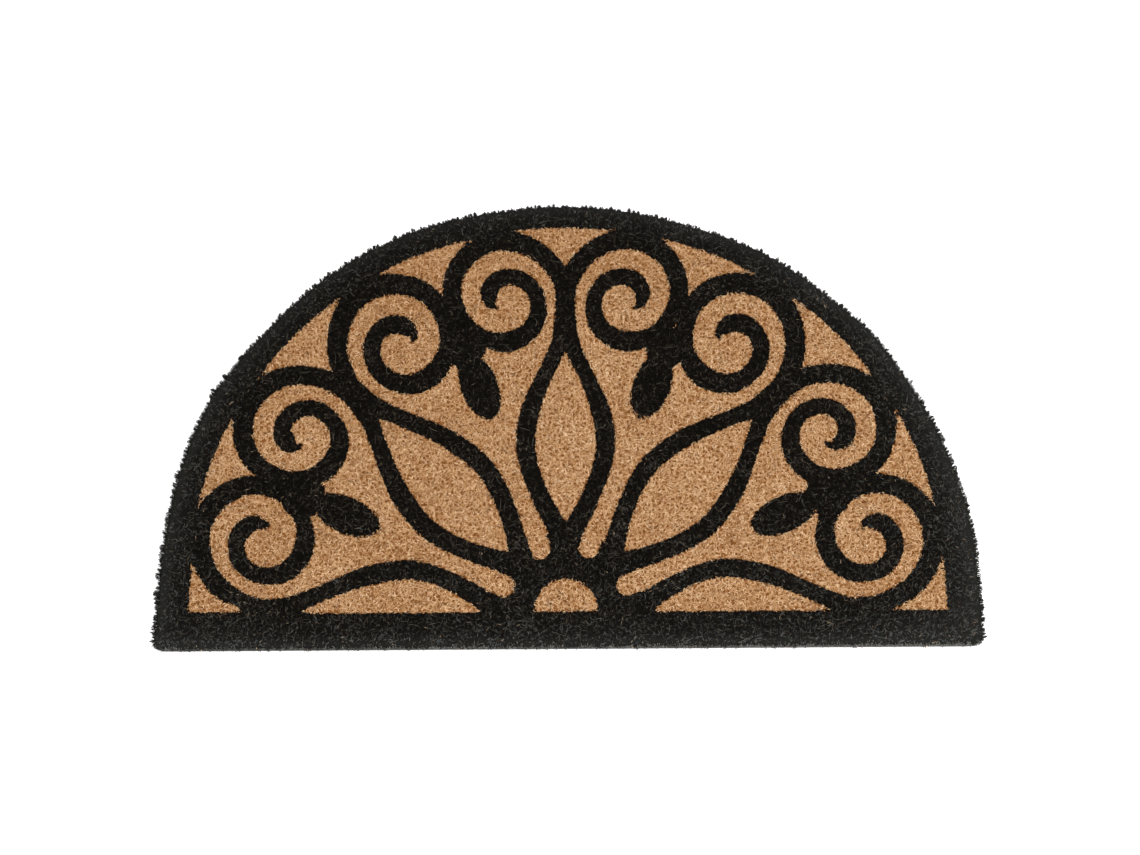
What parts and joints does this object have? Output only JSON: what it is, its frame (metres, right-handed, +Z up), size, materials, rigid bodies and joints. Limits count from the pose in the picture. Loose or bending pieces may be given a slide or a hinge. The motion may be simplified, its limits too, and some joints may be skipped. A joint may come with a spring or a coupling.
{
  "type": "half-moon coir doormat",
  "caption": "Half-moon doormat: a thin vinyl sheet carrying short, dense coir pile, dyed black with a border and an openwork scroll pattern, for wiping shoes at a door.",
  "frame": {"origin": "middle of the underside, where the bounding box's centre meets the floor", "axes": "+Z up; +X along the straight edge, to the right seen from above with that edge nearest; -Y towards the straight edge, +Y towards the crown of the half circle"},
  "size_m": [0.759, 0.4571, 0.016],
  "materials": {
    "vinyl": "black flexible vinyl, dull, with a fine pebbled underside",
    "coir": "undyed golden-brown coir, cut pile, dull and bristly",
    "dyed_coir": "coir dyed black in the border and the scroll pattern, level with the undyed coir"
  },
  "bodies": {
    "root": {"backing": "vinyl", "pile": "coir"}
  },
  "joints": []
}
